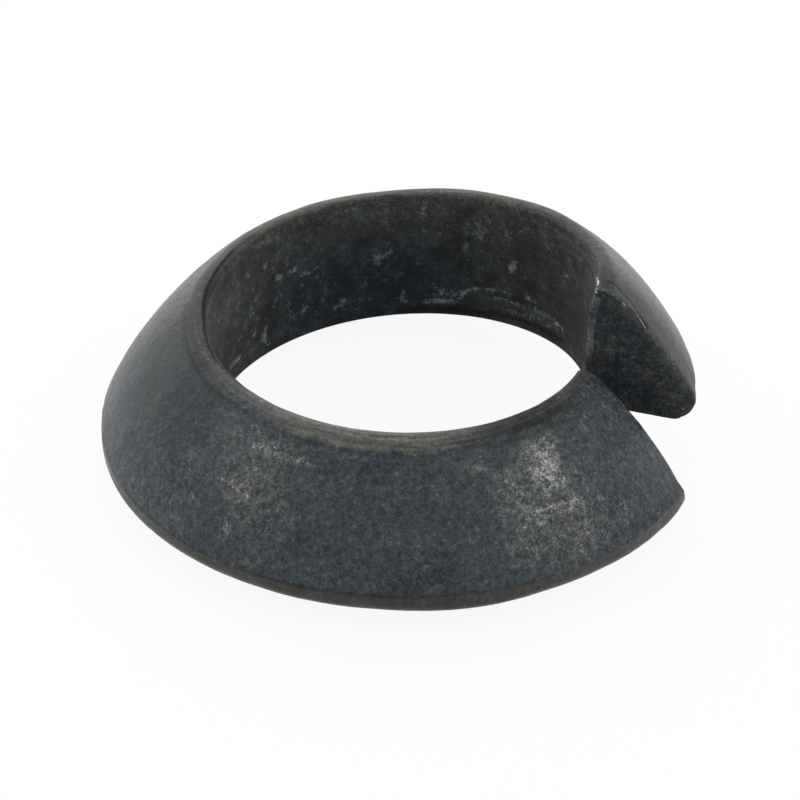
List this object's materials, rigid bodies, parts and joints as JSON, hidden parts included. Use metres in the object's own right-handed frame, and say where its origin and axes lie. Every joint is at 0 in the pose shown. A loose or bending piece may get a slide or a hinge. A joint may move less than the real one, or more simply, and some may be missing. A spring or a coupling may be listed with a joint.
{
  "type": "wheel nut washer",
  "caption": "Split spring washer for a wheel nut: one coiled turn of wedge-section steel bar with a flat base, a spherical outer flank, a plain bore and an open slit.",
  "frame": {"origin": "on the bore's axis, level with the base of the lower end", "axes": "+Z along the bore's axis from the flat base to the narrow crest; the slit opens about 14 degrees clockwise of +X seen from above"},
  "size_m": [0.036, 0.036, 0.0138],
  "materials": {
    "washer": "blackened spring steel, dull and mottled, with pale scuffs and bare spots"
  },
  "bodies": {
    "root": {"washer": "washer"}
  },
  "joints": []
}
